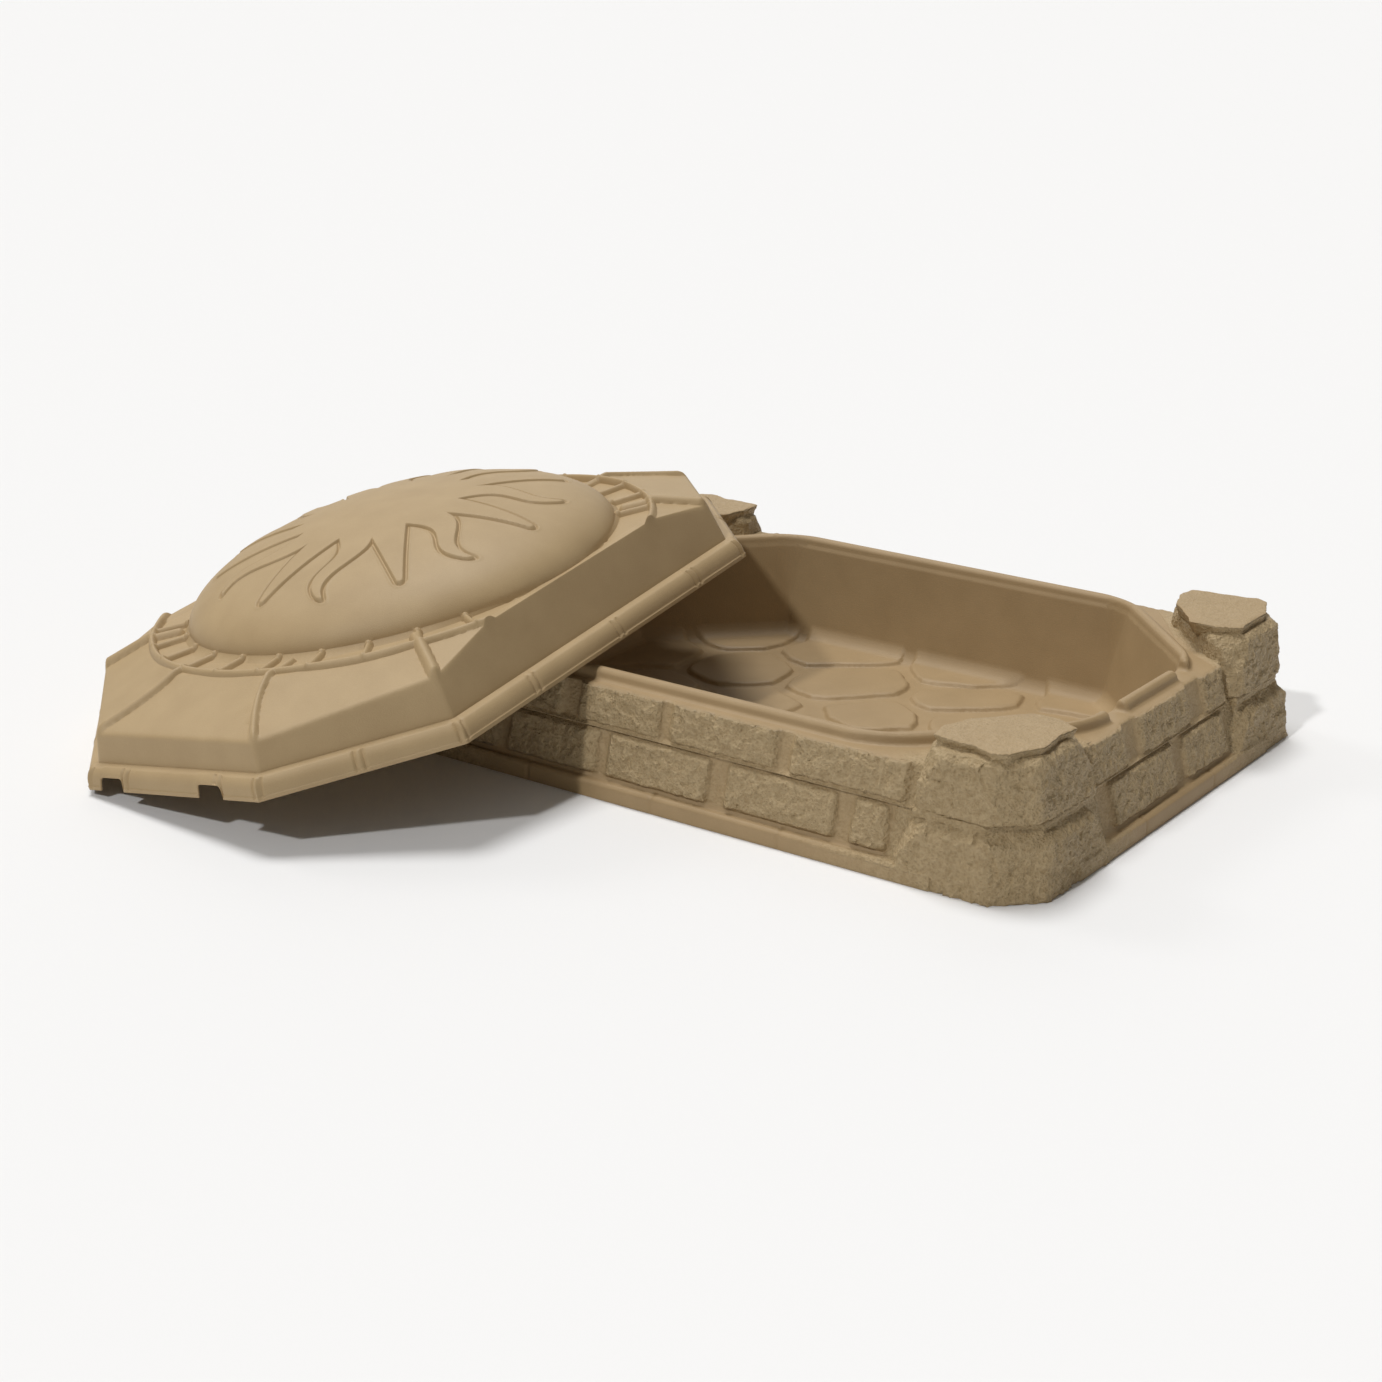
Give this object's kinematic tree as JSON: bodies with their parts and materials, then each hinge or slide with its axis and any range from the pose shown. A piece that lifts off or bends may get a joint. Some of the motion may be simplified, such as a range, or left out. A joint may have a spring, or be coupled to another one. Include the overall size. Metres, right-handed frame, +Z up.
{
  "type": "sandbox with cover",
  "caption": "Play sandbox moulded as a low wall of rough stone blocks with a seat on each corner, and a lift-off eight-sided cover with a round sun dome, leaning on it.",
  "frame": {"origin": "centre of the box's flat underside, on the ground", "axes": "+X along the box's long side, away from the leaning cover; +Z up; +Y across the box, so that the cover's low end faces -Y"},
  "size_m": [2.1485, 1.8501, 0.532],
  "materials": {
    "box_plastic": "rotationally moulded polyethylene, tan, rock texture on the blocks, fine grain elsewhere",
    "cover_plastic": "rotationally moulded polyethylene, tan, fine grain"
  },
  "bodies": {
    "box": {"sandbox_box": "box_plastic"},
    "cover": {"cover": "cover_plastic"}
  },
  "joints": [
    {"name": "cover_lift", "type": "slide", "parent": "box", "child": "cover", "axis": [0, 0, 1], "range_m": [0, 0.4]}
  ]
}
